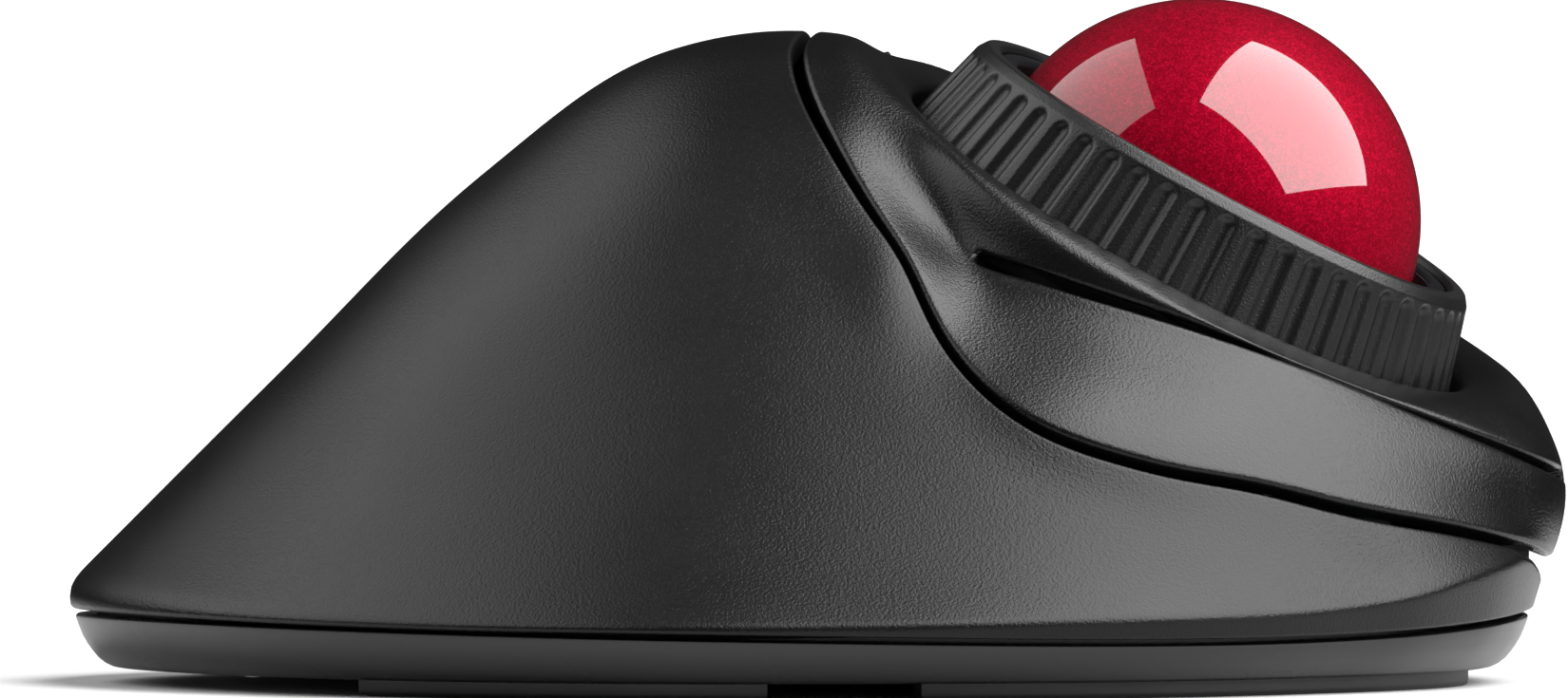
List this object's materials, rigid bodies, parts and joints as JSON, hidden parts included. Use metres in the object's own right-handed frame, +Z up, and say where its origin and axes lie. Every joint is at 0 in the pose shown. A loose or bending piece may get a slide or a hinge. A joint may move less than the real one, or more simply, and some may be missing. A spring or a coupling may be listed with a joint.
{
  "type": "trackball mouse",
  "caption": "Right-handed ergonomic trackball mouse: sloping palm rest, large ball in a fluted scroll ring, click flaps on both sides.",
  "frame": {"origin": "centre of the footprint, on the desk surface under the feet", "axes": "+X towards the ball end, +Y towards the thumb side, +Z up"},
  "size_m": [0.1349, 0.1051, 0.0615],
  "materials": {
    "palm_plastic": "fine spark-eroded grain, matte",
    "cover_plastic": "fine spark-eroded grain, slightly smoother than the palm rest",
    "base_plastic": "smooth satin moulding",
    "skid_tape": "smooth low-friction tape",
    "ring_rubber": "matte soft-touch",
    "bezel_plastic": "semi-gloss black",
    "ball_red": "pearl red under a clear gloss coat",
    "inner_plastic": "plain moulded",
    "white_plastic": "plain moulded",
    "ceramic_white": "polished",
    "lens_clear": "clear moulded lens",
    "chip_black": "moulded package",
    "board_green": "solder mask",
    "bright_steel": "nickel plated",
    "cell_wrap": "printed sleeve without lettering"
  },
  "bodies": {
    "housing": {"palm_shell": "palm_plastic", "front_cover": "cover_plastic", "base": "base_plastic", "rear_right_foot": "skid_tape", "front_right_foot": "skid_tape", "rear_left_foot": "skid_tape", "front_left_foot": "skid_tape", "ring_glide": "white_plastic", "ring_sensor": "inner_plastic", "socket_bezel": "bezel_plastic", "ball_socket": "inner_plastic", "support_balls": "ceramic_white", "sensor_lens": "lens_clear", "sensor_chip": "chip_black", "sensor_board": "board_green", "main_board": "board_green", "radio_chip": "chip_black", "right_switch": "inner_plastic", "left_switch": "inner_plastic", "thumb_board": "board_green", "thumb_switches": "inner_plastic", "dpi_switch": "inner_plastic", "power_switch": "bright_steel", "battery": "cell_wrap", "battery_spring": "bright_steel", "battery_contact": "bright_steel", "usb_receiver": "chip_black", "case_screws": "bright_steel"},
    "scroll_ring": {"scroll_ring": "ring_rubber", "ring_code_wheel": "white_plastic"},
    "ball": {"ball": "ball_red"},
    "right_button": {"right_button": "cover_plastic"},
    "left_button": {"left_button": "cover_plastic"},
    "right_plunger": {"right_plunger": "white_plastic"},
    "left_plunger": {"left_plunger": "white_plastic"},
    "forward_button": {"forward_button": "cover_plastic"},
    "back_button": {"back_button": "cover_plastic"},
    "dpi_button": {"dpi_button": "cover_plastic"},
    "power_slider": {"power_slider": "white_plastic"},
    "battery_door": {"battery_door": "base_plastic"}
  },
  "joints": [
    {"name": "scroll_ring_spin", "type": "hinge", "parent": "housing", "child": "scroll_ring", "pos_m": [0.0345, 0.004, 0.0415], "axis": [0.4649, -0.1392, 0.8744], "continuous": true},
    {"name": "ball_roll", "type": "hinge", "parent": "housing", "child": "ball", "pos_m": [0.0345, 0.004, 0.0415], "axis": [0, 1, 0], "continuous": true},
    {"name": "right_click", "type": "hinge", "parent": "housing", "child": "right_button", "pos_m": [0.01103, -0.02404, 0.03559], "axis": [0.02, 0.7722, 0.6351], "range_deg": [0, 1], "stiffness_Nm_per_rad": 0.4, "springref_deg": -2.86},
    {"name": "left_click", "type": "hinge", "parent": "housing", "child": "left_button", "pos_m": [0.01168, 0.0315, 0.04324], "axis": [-0.065, 0.819, -0.57], "range_deg": [0, 1], "stiffness_Nm_per_rad": 0.4, "springref_deg": -2.86},
    {"name": "right_plunger_slide", "type": "slide", "parent": "housing", "child": "right_plunger", "axis": [0, 0, -1], "range_m": [0, 0.0004]},
    {"name": "left_plunger_slide", "type": "slide", "parent": "housing", "child": "left_plunger", "axis": [0, 0, -1], "range_m": [0, 0.0004]},
    {"name": "forward_press", "type": "slide", "parent": "housing", "child": "forward_button", "axis": [0.117, -0.9783, -0.1711], "range_m": [0, 0.0006], "stiffness_N_per_m": 300, "springref_m": -0.001},
    {"name": "back_press", "type": "slide", "parent": "housing", "child": "back_button", "axis": [0.118, -0.9107, -0.3959], "range_m": [0, 0.0006], "stiffness_N_per_m": 300, "springref_m": -0.001},
    {"name": "dpi_press", "type": "slide", "parent": "housing", "child": "dpi_button", "axis": [0.2609, -0.4289, -0.8648], "range_m": [0, 0.0005], "stiffness_N_per_m": 300, "springref_m": -0.001},
    {"name": "power_slide", "type": "slide", "parent": "housing", "child": "power_slider", "axis": [1, 0, 0], "range_m": [0, 0.004]},
    {"name": "battery_door_release", "type": "slide", "parent": "housing", "child": "battery_door", "axis": [0, 0, -1], "range_m": [0, 0.012]}
  ],
  "couplings": [
    {"joint": "right_plunger_slide", "follows": "right_click", "m_per_rad": 0.0223},
    {"joint": "left_plunger_slide", "follows": "left_click", "m_per_rad": 0.0229}
  ]
}
